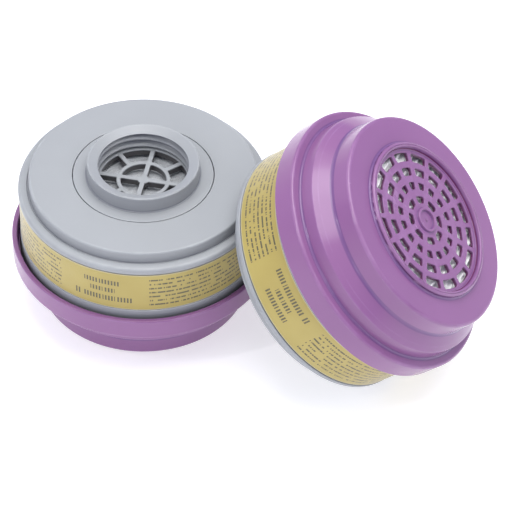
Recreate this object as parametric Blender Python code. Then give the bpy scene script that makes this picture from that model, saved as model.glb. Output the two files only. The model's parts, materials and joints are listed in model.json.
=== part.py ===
"""A pair of combination respirator cartridges: a threaded canister with a push-on particulate filter cup.

One cartridge stands on its filter face with the threaded neck up, the other leans back on its edge.
Local frame of a cartridge: z = 0 at the crest of the bead round the grille, +z towards the threaded neck.
Sizes are in millimetres until the meshes are written in metres.
"""
import math

import bmesh
import bpy
import numpy as np
from mathutils import Matrix, Vector

MM = 0.001
SEG = 32                  # facets round the outer shells
SEG_IN = 24               # facets round the neck and the inner discs
THREAD_STEPS = 18         # steps a turn of the thread ridge
OVERCUT = 1.0             # how far a cutter runs past the piece
SWEEP, HALVINGS = 120, 26 # points round the axis and steps of the search for the leaning place

# ---- the two sizes that set the radii ----
CANISTER_R = 50.0         # shell band and cover shoulder
MOUTH_R = 18.1            # thread crest in the neck

# ---- fits ----
FIT = 0.3                 # gap between pieces that touch
RIM_GAP = 1.4             # open ring between the canister band and the filter rim
LABEL_GAP = 0.1
LEAN_GAP = 0.3            # between the two cartridges
MEDIA_GAP = 0.4

# ---- ring widths ----
SHOULDER_W = 4.4          # from the canister's side in to the raised plate
RIDGE_SET = 1.2           # ridge of the filter housing inside the canister's radius
STEP_W = 5.6              # sloped step between waist and ridge
ANNULUS_W = 11.4          # plain ring of the front face outside the bead
BEAD_W = 2.9
COLLAR_W = 4.3            # collar wall at its mouth
FLANGE_W = 5.9            # neck flange beside the collar
FOOT_W = 0.5              # flare of the housing below its rim

# ---- walls and edges ----
RIM_WALL = 2.1
HOUSING_WALL = 1.8
BREAK = 0.3               # small edge break
CORNER = 1.1              # rounding of the housing's front edge
LIP_ROUND = 0.7           # rounding of the rim's front edge
DRAFT = 0.2               # taper of the moulded walls
LABEL_T = 0.3
LABEL_SUNK = 0.2          # how far the label lies below the band

# ---- filter housing heights ----
BEAD_H = 2.2              # bead crest above the front face
WAIST_H = 8.2             # straight wall behind the front face
STEP_H = 5.6              # sloped step between waist and ridge
RIDGE_H = 5.4             # wall between ridge and groove foot
RIM_H = 9.4               # rim wall behind its front annulus

# ---- grille ----
GRILLE_T = 2.0
BARS = 16
SLOT_CORNER = 0.8
ROWS = (                  # inner and outer radius as parts of the bead's, slots, bar width, corner cut
    (0.844, 0.972, BARS, 1.9, SLOT_CORNER), (0.640, 0.754, BARS, 2.4, SLOT_CORNER),
    (0.443, 0.547, BARS, 2.4, 0.0), (0.242, 0.343, BARS // 2, 2.3, 0.0))
HUB_PART = 0.18
HUB_W = 0.9
HUB_H = 0.5

# ---- canister heights ----
GASKET_T = 1.4
GASKET_W = 3.3
SHELL_FLOOR = 2.0
SHELL_WALL = 1.8
BAND_H = 8.5              # plain band below the label
LABEL_H = 19.3
LAP_H = 1.6               # shell lip inside the cover shoulder
LAP_T = 0.9
PAD_T = 1.5               # inlet dust pad
FINES_T = 2.0             # outlet fines pad
SHOULDER_H = 2.8
PLATE_H = 4.8             # plate top above the shoulder ledge
PLATE_T = 2.0
PLATE_EDGE = 0.8
RIB_SET = 1.4             # pad rib of the cover inside the bore
SEAT_T = 1.5              # ledge that carries the neck flange

# ---- threaded neck ----
NECK_H = 6.7              # collar above the plate
THREAD_D = 1.7
PITCH = 3.63
TURNS = 1.8
RIDGE_HALF = 1.25         # half width of the thread ridge at its root
CREST_HALF = 0.3
LEAD_IN = 2.3             # from the chamfer to the first ridge
CHAMFER_H = 1.8
SKIRT_W = 2.6             # neck skirt beside the collar, under the flange
FLANGE_T = 2.0
SPIDER_DROP = 3.2         # grid top below the plate top
SPIDER_T = 3.0
SPIDER_RING_R = 10.0
SPIDER_RING_W = 1.6
SPIDER_ARM_W = 1.9
FINES_DROP = 1.6          # outlet pad below the grid

# ---- filter media ----
FRAME_WALL = 1.2
PLEAT_PITCH = 6.6
PLEAT_T = 1.76            # upright thickness of the folded sheet
GRID_T = 1.6
GRID_ARM_W = 2.6
GRID_ROWS = ((0.147, 0.483, 6), (0.546, 0.882, 8))    # radii as parts of the bore's, openings

# ---- pose of the pair ----
LEFT_TURN = -9.0          # degrees, neck grid of the standing cartridge
LEAN_TILT = 45.2          # degrees between the leaning axis and the vertical
LEAN_HEADING = 165.6      # degrees, plan direction the leaning neck points to
LEAN_SIDE = 4.9           # how far the leaning axis passes beside the standing one
LEAN_TURN = 4.3           # degrees, grille bars of the leaning cartridge

# ---- heights and radii that follow ----
PLATE_R = CANISTER_R - SHOULDER_W
RIDGE_R = CANISTER_R - RIDGE_SET
HAT_R = RIDGE_R - STEP_W
BEAD_R = HAT_R - ANNULUS_W
BEAD_IN = BEAD_R - BEAD_W
HUB_R = BEAD_IN * HUB_PART
NECK_R = MOUTH_R + COLLAR_W
SEAM_R = NECK_R + FLANGE_W
FACE_Z = BEAD_H
WAIST_Z = FACE_Z + WAIST_H
RIDGE_Z = WAIST_Z + STEP_H
FOOT_Z = RIDGE_Z + RIDGE_H
FOOT_R = RIDGE_R + FOOT_W
RIM_Z = FOOT_Z + RIM_H
RIM_IN = CANISTER_R + RIM_GAP
RIM_R = RIM_IN + RIM_WALL
CEIL_Z = FACE_Z + GRILLE_T
CUP_Z = FOOT_Z + HOUSING_WALL
HAT_IN = HAT_R - HOUSING_WALL
RIDGE_IN = RIDGE_R - HOUSING_WALL
SLOPE_LOW = WAIST_Z + 1.0
SLOPE_TOP = SLOPE_LOW + RIDGE_IN - HAT_IN
CAN_Z = CUP_Z + FIT + GASKET_T + FIT
FLOOR_Z = CAN_Z + SHELL_FLOOR
LABEL_Z = CAN_Z + BAND_H
SEAT_R = CANISTER_R - LABEL_SUNK - LABEL_T - LABEL_GAP
BORE_R = SEAT_R - SHELL_WALL
LABEL_TOP = LABEL_Z + LABEL_H
LIP_Z = LABEL_TOP + LAP_H
LEDGE_Z = LABEL_TOP + SHOULDER_H
PLATE_Z = LEDGE_Z + PLATE_H
NECK_Z = PLATE_Z + NECK_H
SPIDER_Z = PLATE_Z - SPIDER_DROP
SPIDER_LOW = SPIDER_Z - SPIDER_T
FINES_Z = SPIDER_LOW - FINES_DROP
DISC_R = BORE_R - FIT - LABEL_GAP
FRAME_R = HAT_IN - FIT
FRAME_IN = FRAME_R - FRAME_WALL
FRAME_Z = CEIL_Z + FIT
FRAME_TOP = CUP_Z - FIT
MEDIA_R = FRAME_IN - MEDIA_GAP


def lathe(name, profile, seg):
    """Turns a profile about Z; an open profile starts and ends on the axis, a closed one is a ring."""
    mesh = bpy.data.meshes.new(name)
    count = len(profile)
    closed = profile[0][0] > 0
    edges = [(i, i + 1) for i in range(count - 1)] + ([(count - 1, 0)] if closed else [])
    mesh.from_pydata([(r * MM, 0.0, z * MM) for r, z in profile], edges, [])
    obj = bpy.data.objects.new(name, mesh)
    bpy.context.scene.collection.objects.link(obj)
    turn = obj.modifiers.new("turn", "SCREW")
    turn.axis = "Z"
    turn.angle = math.tau
    turn.steps = seg
    turn.render_steps = seg
    turn.use_merge_vertices = True
    turn.merge_threshold = 1e-6
    return obj


def solid(name, verts, faces):
    """Mesh object from millimetre vertices, its faces turned outwards."""
    mesh = bpy.data.meshes.new(name)
    mesh.from_pydata([(x * MM, y * MM, z * MM) for x, y, z in verts], [], faces)
    work = bmesh.new()
    work.from_mesh(mesh)
    bmesh.ops.recalc_face_normals(work, faces=work.faces)
    work.to_mesh(mesh)
    work.free()
    obj = bpy.data.objects.new(name, mesh)
    bpy.context.scene.collection.objects.link(obj)
    return obj


def prisms(name, outlines, z0, z1):
    """Upright prisms, one for each plan outline, in one cutter."""
    verts, faces = [], []
    for outline in outlines:
        base, n = len(verts), len(outline)
        verts += [(x, y, z0) for x, y in outline] + [(x, y, z1) for x, y in outline]
        faces.append([base + i for i in range(n)][::-1])
        faces.append([base + n + i for i in range(n)])
        faces += [[base + i, base + (i + 1) % n, base + n + (i + 1) % n, base + n + i] for i in range(n)]
    obj = solid(name, verts, faces)
    obj.display_type = "WIRE"
    obj.hide_render = True
    return obj


def polar(r, a):
    return (r * math.cos(a), r * math.sin(a))


def slot(r0, r1, a0, a1, bar, corner=0.0, arc=0):
    """Sector between two bars of equal width; corner cuts its corners, arc adds points along its outer edge."""
    def angle(r, way):
        return (a0 if way > 0 else a1) + way * math.asin(bar / 2 / r)
    start, end = angle(r1, -1) - corner / r1, angle(r1, 1) + corner / r1
    outer = [polar(r1, start + (end - start) * i / (arc + 1)) for i in range(arc + 2)]
    inner = [polar(r0, angle(r0, 1) + corner / r0), polar(r0, angle(r0, -1) - corner / r0)]
    if not corner:
        return inner + outer
    right = [polar(r, angle(r, -1)) for r in (r0 + corner, r1 - corner)]
    left = [polar(r, angle(r, 1)) for r in (r1 - corner, r0 + corner)]
    return inner + right + outer + left


def combine(obj, tool, operation):
    """Boolean with the exact solver."""
    step = obj.modifiers.new(operation.lower(), "BOOLEAN")
    step.operation = operation
    step.object = tool
    step.solver = "EXACT"


def finish(obj, tools, material, angle):
    """Evaluated mesh of a piece, smooth on its round faces; the working objects are removed."""
    bpy.context.view_layer.update()
    graph = bpy.context.evaluated_depsgraph_get()
    mesh = bpy.data.meshes.new_from_object(obj.evaluated_get(graph))
    mesh.name = obj.name
    mesh.materials.clear()
    mesh.materials.append(material)
    mesh.shade_smooth()
    mesh.set_sharp_from_angle(angle=math.radians(angle))
    for item in [obj] + tools:
        bpy.data.objects.remove(item)
    return mesh


def material(name, colour, roughness, metallic=0.0):
    made = bpy.data.materials.new(name)
    made.use_nodes = True
    shader = made.node_tree.nodes["Principled BSDF"]
    shader.inputs["Base Color"].default_value = (*colour, 1.0)
    shader.inputs["Roughness"].default_value = roughness
    shader.inputs["Metallic"].default_value = metallic
    return made


# ---- outer profiles, from the front face to the neck, as (radius, height) ----
HOUSING_OUT = [
    (BEAD_IN, FACE_Z), (BEAD_IN + 0.4, BREAK), (BEAD_IN + BEAD_W / 3, 0.0),
    (BEAD_R - BEAD_W / 3, 0.0), (BEAD_R - DRAFT, BEAD_H * 0.4), (BEAD_R, FACE_Z),
    (HAT_R - CORNER, FACE_Z), (HAT_R - BREAK, FACE_Z + BREAK), (HAT_R, FACE_Z + CORNER),
    (HAT_R + DRAFT, WAIST_Z - DRAFT), (HAT_R + 0.9, WAIST_Z + 0.9),
    (RIDGE_R - 0.6, RIDGE_Z - 0.8), (RIDGE_R, RIDGE_Z + DRAFT),
    (FOOT_R, FOOT_Z), (RIM_R - LIP_ROUND, FOOT_Z), (RIM_R - BREAK / 3, FOOT_Z + LIP_ROUND),
    (RIM_R, RIM_Z - 0.6), (RIM_R - 0.5, RIM_Z)]
COVER_OUT = [
    (CANISTER_R, LABEL_TOP + FIT), (CANISTER_R, LEDGE_Z - 1.4), (CANISTER_R - 0.5, LEDGE_Z - 0.5),
    (CANISTER_R - 1.4, LEDGE_Z), (PLATE_R + 0.4, LEDGE_Z + 0.5), (PLATE_R + 0.1, LEDGE_Z + 0.9),
    (PLATE_R, PLATE_Z - PLATE_EDGE), (PLATE_R - 0.25, PLATE_Z - 0.25), (PLATE_R - PLATE_EDGE, PLATE_Z)]
COLLAR_OUT = [(NECK_R, PLATE_Z), (NECK_R, NECK_Z - 0.5), (NECK_R - 0.5, NECK_Z)]


def filter_housing(name, mat):
    """Stepped housing with the grille in its floor; the rim cups the canister."""
    inside = [
        (RIM_IN + BREAK, RIM_Z), (RIM_IN, RIM_Z - BREAK), (RIM_IN, CUP_Z), (RIDGE_IN, CUP_Z),
        (RIDGE_IN, SLOPE_TOP), (HAT_IN, SLOPE_LOW), (HAT_IN, CEIL_Z)]
    profile = [(0.0, CEIL_Z)] + inside[::-1] + HOUSING_OUT[::-1]
    profile += [(HUB_R + DRAFT, FACE_Z), (HUB_R, FACE_Z - HUB_H), (HUB_R - HUB_W, FACE_Z - HUB_H),
                (HUB_R - HUB_W - DRAFT, FACE_Z), (0.0, FACE_Z)]
    obj = lathe(name, profile, SEG)
    outlines = []
    for r0, r1, count, bar, corner in ROWS:
        for i in range(count):
            start = math.tau * i / count + (math.tau / BARS if count < BARS else 0.0)
            outlines.append(slot(r0 * BEAD_IN, r1 * BEAD_IN, start, start + math.tau / count, bar, corner))
    cutter = prisms("slot_cutter", outlines, -OVERCUT, CEIL_Z + OVERCUT)
    combine(obj, cutter, "DIFFERENCE")
    return finish(obj, [cutter], mat, 35)


def pleated_media(name, mat):
    """One folded sheet trimmed to a disc."""
    low, high = FRAME_Z + DRAFT, FRAME_TOP - DRAFT
    half = int(MEDIA_R / PLEAT_PITCH + 1) * PLEAT_PITCH
    folds = int(round(4 * half / PLEAT_PITCH))
    line = [(-half + i * PLEAT_PITCH / 2, high - PLEAT_T if i % 2 else low) for i in range(folds + 1)]
    outline = line + [(x, z + PLEAT_T) for x, z in line[::-1]]
    n = len(outline)
    reach = MEDIA_R + OVERCUT
    verts = [(x, -reach, z) for x, z in outline] + [(x, reach, z) for x, z in outline]
    faces = [[i, (i + 1) % n, n + (i + 1) % n, n + i] for i in range(n)]
    faces += [[n + i for i in range(n)], list(range(n))[::-1]]
    obj = solid(name, verts, faces)
    above, below = high + OVERCUT, low - OVERCUT
    trim = lathe("trim_disc", [(0.0, above), (MEDIA_R, above), (MEDIA_R, below), (0.0, below)], SEG_IN)
    trim.hide_render = True
    trim.display_type = "WIRE"
    combine(obj, trim, "INTERSECT")
    return finish(obj, [trim], mat, 25)


def media_frame(name, mat):
    """Potting ring that holds the pleats and fills the taper of the housing."""
    lift = FIT * (math.sqrt(2) - 1)
    obj = lathe(name, [
        (FRAME_IN, FRAME_TOP), (RIDGE_IN - FIT, FRAME_TOP), (RIDGE_IN - FIT, SLOPE_TOP + lift),
        (FRAME_R, SLOPE_LOW + lift), (FRAME_R, FRAME_Z), (FRAME_IN, FRAME_Z)], SEG)
    return finish(obj, [], mat, 30)


def grid_cutter(z0, z1):
    """Two rings of sector openings, the same in the filter back grid and the canister inlet."""
    outlines = []
    for r0, r1, count in GRID_ROWS:
        for i in range(count):
            start = math.tau * i / count
            outlines.append(slot(r0 * BORE_R, r1 * BORE_R, start, start + math.tau / count, GRID_ARM_W, arc=1))
    return prisms("sector_cutter", outlines, z0 - OVERCUT, z1 + OVERCUT)


def filter_back_grid(name, mat):
    """Disc with sector openings that holds the media in."""
    r, top = RIDGE_IN - FIT, CUP_Z + GRID_T
    obj = lathe(name, [(0.0, top), (r, top), (r, CUP_Z), (0.0, CUP_Z)], SEG_IN)
    cutter = grid_cutter(CUP_Z, top)
    combine(obj, cutter, "DIFFERENCE")
    return finish(obj, [cutter], mat, 30)


def filter_gasket(name, mat):
    inner = RIDGE_IN + FIT
    low = CUP_Z + FIT
    obj = lathe(name, [
        (inner, low + GASKET_T), (inner + GASKET_W - BREAK, low + GASKET_T), (inner + GASKET_W, low + GASKET_T / 2),
        (inner + GASKET_W - BREAK, low), (inner, low)], SEG)
    return finish(obj, [], mat, 50)


def canister_shell(name, mat):
    """Cup with a grid floor at the inlet, a band, a seat for the label and a lip for the cover."""
    obj = lathe(name, [
        (0.0, FLOOR_Z), (BORE_R, FLOOR_Z), (BORE_R, LIP_Z), (BORE_R + LAP_T, LIP_Z), (BORE_R + LAP_T, LABEL_TOP),
        (SEAT_R, LABEL_TOP), (SEAT_R, LABEL_Z), (CANISTER_R, LABEL_Z - BREAK), (CANISTER_R, CAN_Z + 2 * BREAK),
        (CANISTER_R - 2 * BREAK, CAN_Z), (0.0, CAN_Z)], SEG)
    cutter = grid_cutter(CAN_Z, FLOOR_Z)
    combine(obj, cutter, "DIFFERENCE")
    return finish(obj, [cutter], mat, 35)


def canister_label(name, mat):
    inner = SEAT_R + LABEL_GAP
    low, high = LABEL_Z + DRAFT, LABEL_TOP - DRAFT
    obj = lathe(name, [(inner, high), (inner + LABEL_T, high), (inner + LABEL_T, low), (inner, low)], SEG)
    return finish(obj, [], mat, 35)


def disc(z0, z1):
    def build(name, mat):
        obj = lathe(name, [(0.0, z1), (DISC_R, z1), (DISC_R, z0), (0.0, z0)], SEG_IN)
        return finish(obj, [], mat, 35)
    return build


def mask_side_cover(name, mat):
    """Raised plate with a stepped shoulder; a ledge below its hole carries the neck flange."""
    lap_r = BORE_R + LAP_T + FIT
    rib_r = BORE_R - RIB_SET
    ledge_r = NECK_R + SKIRT_W
    under = PLATE_Z - FLANGE_T - FIT
    profile = [(SEAM_R, PLATE_Z)] + COVER_OUT[::-1] + [
        (lap_r, LABEL_TOP + FIT), (lap_r, LIP_Z + FIT), (rib_r, LIP_Z + FIT), (rib_r, FINES_Z + FIT),
        (rib_r - SHELL_WALL, FINES_Z + FIT), (PLATE_R - PLATE_T, LEDGE_Z), (PLATE_R - PLATE_T, PLATE_Z - PLATE_T),
        (SEAM_R + PLATE_T, PLATE_Z - PLATE_T), (SEAM_R + PLATE_T, under - SEAT_T), (ledge_r, under - SEAT_T),
        (ledge_r, under), (SEAM_R, under)]
    obj = lathe(name, profile, SEG)
    return finish(obj, [], mat, 30)


def threaded_neck(name, mat):
    """Flanged neck with an internal round thread and the outlet grid across its foot."""
    root = MOUTH_R + THREAD_D
    skirt = NECK_R + SKIRT_W - FIT
    flange = SEAM_R - FIT
    profile = [
        (0.0, SPIDER_Z), (root, SPIDER_Z), (root, NECK_Z - CHAMFER_H - CORNER - BREAK),
        (MOUTH_R, NECK_Z - CHAMFER_H - 2 * BREAK),
        (MOUTH_R, NECK_Z - CHAMFER_H)] + COLLAR_OUT[::-1][:2] + [
        (NECK_R, PLATE_Z), (flange - DRAFT, PLATE_Z), (flange, PLATE_Z - DRAFT),
        (flange, PLATE_Z - FLANGE_T), (skirt, PLATE_Z - FLANGE_T), (skirt, SPIDER_LOW), (0.0, SPIDER_LOW)]
    obj = lathe(name, profile, SEG_IN)
    ring_in, ring_out = SPIDER_RING_R - SPIDER_RING_W / 2, SPIDER_RING_R + SPIDER_RING_W / 2
    outlines = []
    for r0, r1, count in ((SPIDER_ARM_W * 1.5, ring_in, 4), (ring_out, MOUTH_R - BREAK, 8)):
        for i in range(count):
            start = math.tau * i / count
            outlines.append(slot(r0, r1, start, start + math.tau / count, SPIDER_ARM_W, arc=8 // count))
    cutter = prisms("spider_cutter", outlines, SPIDER_LOW - OVERCUT, SPIDER_Z + BREAK)
    combine(obj, cutter, "DIFFERENCE")
    steps = int(THREAD_STEPS * TURNS)
    top = NECK_Z - CHAMFER_H - LEAD_IN
    buried = root + BREAK
    section = ((buried, RIDGE_HALF), (MOUTH_R, CREST_HALF), (MOUTH_R, -CREST_HALF), (buried, -RIDGE_HALF))
    verts, faces = [], []
    for i in range(steps + 1):
        a = -math.tau * TURNS * i / steps
        verts += [(*polar(r, a), top - PITCH * TURNS * i / steps + h) for r, h in section]
    for i in range(steps):
        faces += [[4 * i + k, 4 * i + (k + 1) % 4, 4 * i + 4 + (k + 1) % 4, 4 * i + 4 + k] for k in range(4)]
    faces += [[0, 1, 2, 3][::-1], [4 * steps + k for k in range(4)]]
    thread = solid("thread_ridge", verts, faces)
    thread.hide_render = True
    thread.display_type = "WIRE"
    combine(obj, thread, "UNION")
    return finish(obj, [cutter, thread], mat, 30)


def outline_points(n_turn):
    """Outer profile of a whole cartridge and its points swept round the axis."""
    profile = [(0.0, FACE_Z)] + HOUSING_OUT + [(RIM_IN, RIM_Z), (RIM_IN, RIM_Z - 1.0), (CANISTER_R, RIM_Z - 1.0)]
    profile += COVER_OUT + [(NECK_R, PLATE_Z)] + COLLAR_OUT + [(0.0, NECK_Z)]
    profile = np.array(profile)
    turn = np.linspace(0, math.tau, n_turn, endpoint=False)
    pts = np.stack([np.outer(profile[:, 0], np.cos(turn)), np.outer(profile[:, 0], np.sin(turn)),
                    np.repeat(profile[:, 1][:, None], n_turn, 1)], -1).reshape(-1, 3)
    return profile, pts


def clearance(profile, pts):
    """Least distance from points to a turned profile, negative when a point is inside."""
    q = np.stack([np.hypot(pts[:, 0], pts[:, 1]), pts[:, 2]], 1)
    a, b = profile[:-1], profile[1:]
    ab = b - a
    length = (ab ** 2).sum(1)
    keep = length > 1e-9
    a, b, ab, length = a[keep], b[keep], ab[keep], length[keep]
    t = np.clip(((q[:, None] - a) * ab).sum(2) / length, 0, 1)
    gap = np.linalg.norm(q[:, None] - (a + t[..., None] * ab), axis=2).min(1)
    crosses = (a[:, 1] > q[:, None, 1]) != (b[:, 1] > q[:, None, 1])
    rise = np.where(ab[:, 1] == 0, 1e-12, ab[:, 1])
    reach = a[:, 0] + (q[:, None, 1] - a[:, 1]) * ab[:, 0] / rise
    inside = (crosses & (reach > q[:, None, 0])).sum(1) % 2 == 1
    return np.where(inside, -gap, gap).min()


def leaning_axes():
    """Columns X, Y, Z of the leaning cartridge; Z runs to its neck, X along a grille bar."""
    tilt, heading = math.radians(LEAN_TILT), math.radians(LEAN_HEADING)
    z = Vector((math.sin(tilt) * math.cos(heading), math.sin(tilt) * math.sin(heading), -math.cos(tilt)))
    up = (Vector((0, 0, 1)) - z * z.z).normalized()
    side = z.cross(up)
    x = up * math.cos(math.radians(LEAN_TURN)) + side * math.sin(math.radians(LEAN_TURN))
    return Matrix((x, z.cross(x), z)).transposed()


def leaning_offset(axes, low):
    """Plan offset at which the leaning cartridge just clears the standing one, by halving the interval."""
    profile, pts = outline_points(SWEEP)
    rot = np.array(axes)
    heading = math.radians(LEAN_HEADING)
    away = np.array((-math.cos(heading), -math.sin(heading), 0.0))
    beside = np.array((-math.sin(heading), math.cos(heading), 0.0))

    def place(distance):
        return away * distance + beside * LEAN_SIDE + np.array((0.0, 0.0, -low))

    near, far = PLATE_R, 4 * CANISTER_R
    for _ in range(HALVINGS):
        mid = (near + far) / 2
        at = place(mid)
        gap = min(clearance(profile, pts @ rot.T + at), clearance(profile, (pts - at) @ rot))
        if gap > LEAN_GAP:
            far = mid
        else:
            near = mid
    return place(far)


PIECES = (
    ("filter_housing", filter_housing, "purple"), ("pleated_media", pleated_media, "media"),
    ("media_frame", media_frame, "potting"), ("filter_back_grid", filter_back_grid, "purple"),
    ("filter_gasket", filter_gasket, "foam"), ("canister_shell", canister_shell, "grey"),
    ("canister_label", canister_label, "label"), ("inlet_dust_pad", disc(FLOOR_Z + FIT, FLOOR_Z + FIT + PAD_T), "pad"),
    ("sorbent_bed", disc(FLOOR_Z + PAD_T + 2 * FIT, FINES_Z - FINES_T - FIT), "carbon"),
    ("outlet_fines_pad", disc(FINES_Z - FINES_T, FINES_Z), "pad"),
    ("mask_side_cover", mask_side_cover, "grey"), ("threaded_neck", threaded_neck, "grey"))
FILTER_GROUP = ("filter_housing", "pleated_media", "media_frame", "filter_back_grid", "filter_gasket")
LOOKS = {
    "purple": ((0.40, 0.20, 0.45), 0.35), "grey": ((0.55, 0.57, 0.60), 0.45), "label": ((0.56, 0.46, 0.17), 0.5),
    "media": ((0.80, 0.80, 0.78), 0.4), "potting": ((0.70, 0.68, 0.62), 0.6), "foam": ((0.08, 0.08, 0.08), 0.9),
    "pad": ((0.75, 0.76, 0.76), 0.95), "carbon": ((0.02, 0.02, 0.02), 0.9)}


def main():
    for item in list(bpy.data.objects):
        bpy.data.objects.remove(item)
    looks = {key: material(key, *value) for key, value in LOOKS.items()}
    meshes = {name: build(name, looks[look]) for name, build, look in PIECES}

    axes = leaning_axes()
    pts = np.array([v.co for mesh in meshes.values() for v in mesh.vertices])
    rot = np.array(axes)
    low = (pts @ rot.T)[:, 2].min() / MM
    offset = leaning_offset(axes, low) * MM
    turn = Matrix.Rotation(math.radians(LEFT_TURN), 3, "Z")
    both = np.vstack((pts @ np.array(turn).T, pts @ rot.T + offset))
    middle = (both.min(0) + both.max(0)) / 2
    centre = Vector((-middle[0], -middle[1], 0.0))
    for side, place, shift in (("left", turn, Vector()), ("right", axes, Vector(offset))):
        frame = bpy.data.objects.new(side + "_cartridge_frame", None)
        frame.matrix_world = Matrix.Translation(shift + centre) @ place.to_4x4()
        bpy.context.scene.collection.objects.link(frame)
        slide = bpy.data.objects.new(side + "_filter_frame", None)
        slide.parent = frame
        bpy.context.scene.collection.objects.link(slide)
        for name, mesh in meshes.items():
            obj = bpy.data.objects.new(side + "_" + name, mesh)
            obj.parent = slide if name in FILTER_GROUP else frame
            bpy.context.scene.collection.objects.link(obj)
    bpy.context.view_layer.update()


main()
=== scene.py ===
"""Looks of a pair of combination respirator cartridges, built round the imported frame.

A cartridge is modelled once in its own frame: z = 0 at the crest of the bead round the grille, +z towards the
threaded neck, sizes in millimetres. Both cartridges share the meshes and the materials.
"""

import json
import math

import bmesh
import bpy
import numpy as np
from mathutils import Matrix, Vector, geometry, noise


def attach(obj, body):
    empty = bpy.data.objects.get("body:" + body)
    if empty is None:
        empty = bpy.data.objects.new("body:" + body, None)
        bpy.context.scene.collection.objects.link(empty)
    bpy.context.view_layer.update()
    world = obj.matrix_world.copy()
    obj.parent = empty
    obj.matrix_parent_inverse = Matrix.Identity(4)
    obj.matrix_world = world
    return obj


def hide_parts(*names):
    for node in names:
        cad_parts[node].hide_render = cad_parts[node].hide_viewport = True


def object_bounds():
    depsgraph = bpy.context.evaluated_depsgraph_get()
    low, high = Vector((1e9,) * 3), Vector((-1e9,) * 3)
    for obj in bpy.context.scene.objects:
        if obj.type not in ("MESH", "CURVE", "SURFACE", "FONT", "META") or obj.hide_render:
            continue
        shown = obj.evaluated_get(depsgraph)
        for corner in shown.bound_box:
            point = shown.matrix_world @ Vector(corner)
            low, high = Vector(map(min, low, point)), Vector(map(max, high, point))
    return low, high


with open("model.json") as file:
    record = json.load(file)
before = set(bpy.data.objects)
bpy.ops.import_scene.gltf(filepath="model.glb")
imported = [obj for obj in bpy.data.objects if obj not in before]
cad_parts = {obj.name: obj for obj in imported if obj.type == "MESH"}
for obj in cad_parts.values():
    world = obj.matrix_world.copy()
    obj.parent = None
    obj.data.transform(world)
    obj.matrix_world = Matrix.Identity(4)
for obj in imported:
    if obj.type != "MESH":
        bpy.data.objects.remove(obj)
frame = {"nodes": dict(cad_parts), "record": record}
cad_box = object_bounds()

MM = 0.001
WELD = 1e-6
SEG = 160                 # steps round a turned piece
SEG_NECK = 192            # steps round the neck
ARC_STEPS = 5             # steps of a fillet
CORNER_STEPS = 4          # steps round the corner of an opening
SIDE_STEP = 1.5           # millimetres between points along the side of an opening
GUARD = 0.35              # millimetres between a fillet and the support ring beside it
CREASE, RUBBED = -1.0, 1.0    # painted crease shade for an inner corner, rubbed wear for an outer corner; a plain face has 0
DEEP = -2.0               # value that paints shade on a wall that light hardly reaches
FIT = 0.3                 # gap between pieces that touch

# ---- pose ----
LEFT_TURN = -9.0          # degrees, neck grid of the standing cartridge
LEAN_TURN = 4.3           # degrees, grille bars of the leaning cartridge from the upward direction
LABEL_TURN = {"left": -96.6, "right": -70.0}    # degrees, middle of the ticked rows

# ---- radii of the filter ----
GRILLE_R = 28.7           # outer edge of the grille's flat face
LEDGE_R = 28.95           # foot of the ledge inside the bead
BEAD_IN, BEAD_OUT = 29.45, 31.8
HAT_R, RIDGE_R, FOOT_R = 43.2, 48.8, 49.3
RIM_IN, RIM_R = 51.4, 53.5
HAT_IN, RIDGE_IN = 41.4, 47.0
HUB_OUT, HUB_IN = 4.95, 4.0
HUB_MARGIN = 0.5          # turned strip of the face outside the hub ring and round the pip
PIP_R = 0.55
FRAME_R, FRAME_IN, MEDIA_R = 41.1, 39.9, 39.5
GASKET_R = 50.5

# ---- radii of the canister ----
CANISTER_R, SEAT_R, BORE_R = 50.0, 49.4, 47.6
INLET_R = 46.0            # outer edge of the inlet grid's flat face
LIP_R = 48.5              # outside of the lip that goes into the cover
LABEL_IN, LABEL_OUT = 49.5, 49.8
DISC_R = 47.2             # the two pads and the sorbent bed
LAP_R = 48.8              # inside of the cover's shoulder
RIB_R, RIB_IN = 46.2, 44.6    # rib of the cover over the outlet pad
PLATE_R, SEAM_R, FLANGE_R, SKIRT_R = 45.6, 28.3, 28.0, 24.7
NECK_R, MOUTH_R, ROOT_R = 22.4, 18.1, 19.8
NECK_HOLE_R = 25.0        # hole of the cover round the neck's skirt

# ---- heights of the filter ----
HUB_Z, PIP_Z = 1.15, 1.5
FACE_Z, CEIL_Z = 2.2, 3.9
LEDGE_UP = 0.3            # ledge inside the bead over the face of the grille
FRAME_LOW, FRAME_TOP = 4.5, 22.9
WAIST_Z, RIDGE_Z, FOOT_Z, RIM_Z = 10.4, 16.0, 21.4, 30.8
CUP_Z, GRID_TOP = 23.2, 24.8
GASKET_LOW, GASKET_TOP = 23.5, 24.9

# ---- heights of the canister ----
CAN_Z, FLOOR_Z = 25.2, 27.2
PAD_LOW, PAD_TOP = 27.5, 29.0
BED_LOW, BED_TOP = 29.3, 50.5
FINES_LOW, FINES_TOP = 50.8, 52.8
FINES_CROWN = 0.5         # how far the middle of the outlet pad may rise over its edge
LABEL_Z, LABEL_TOP, LIP_Z = 33.7, 53.0, 54.6
SPIDER_LOW, SPIDER_Z = 54.4, 57.4
SEAT_LOW, SEAT_TOP = 56.8, 58.3    # ledge of the cover that carries the neck's flange
LEDGE_Z, PLATE_Z, NECK_Z = 55.8, 60.6, 67.3
PLATE_T = 2.0

# ---- pleats ----
PLEAT_PITCH, PLEAT_DEPTH, SHEET_T = 2.9, 2.0, 0.7
PLEAT_LOW, PLEAT_TOP = 4.1, 22.4

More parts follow.
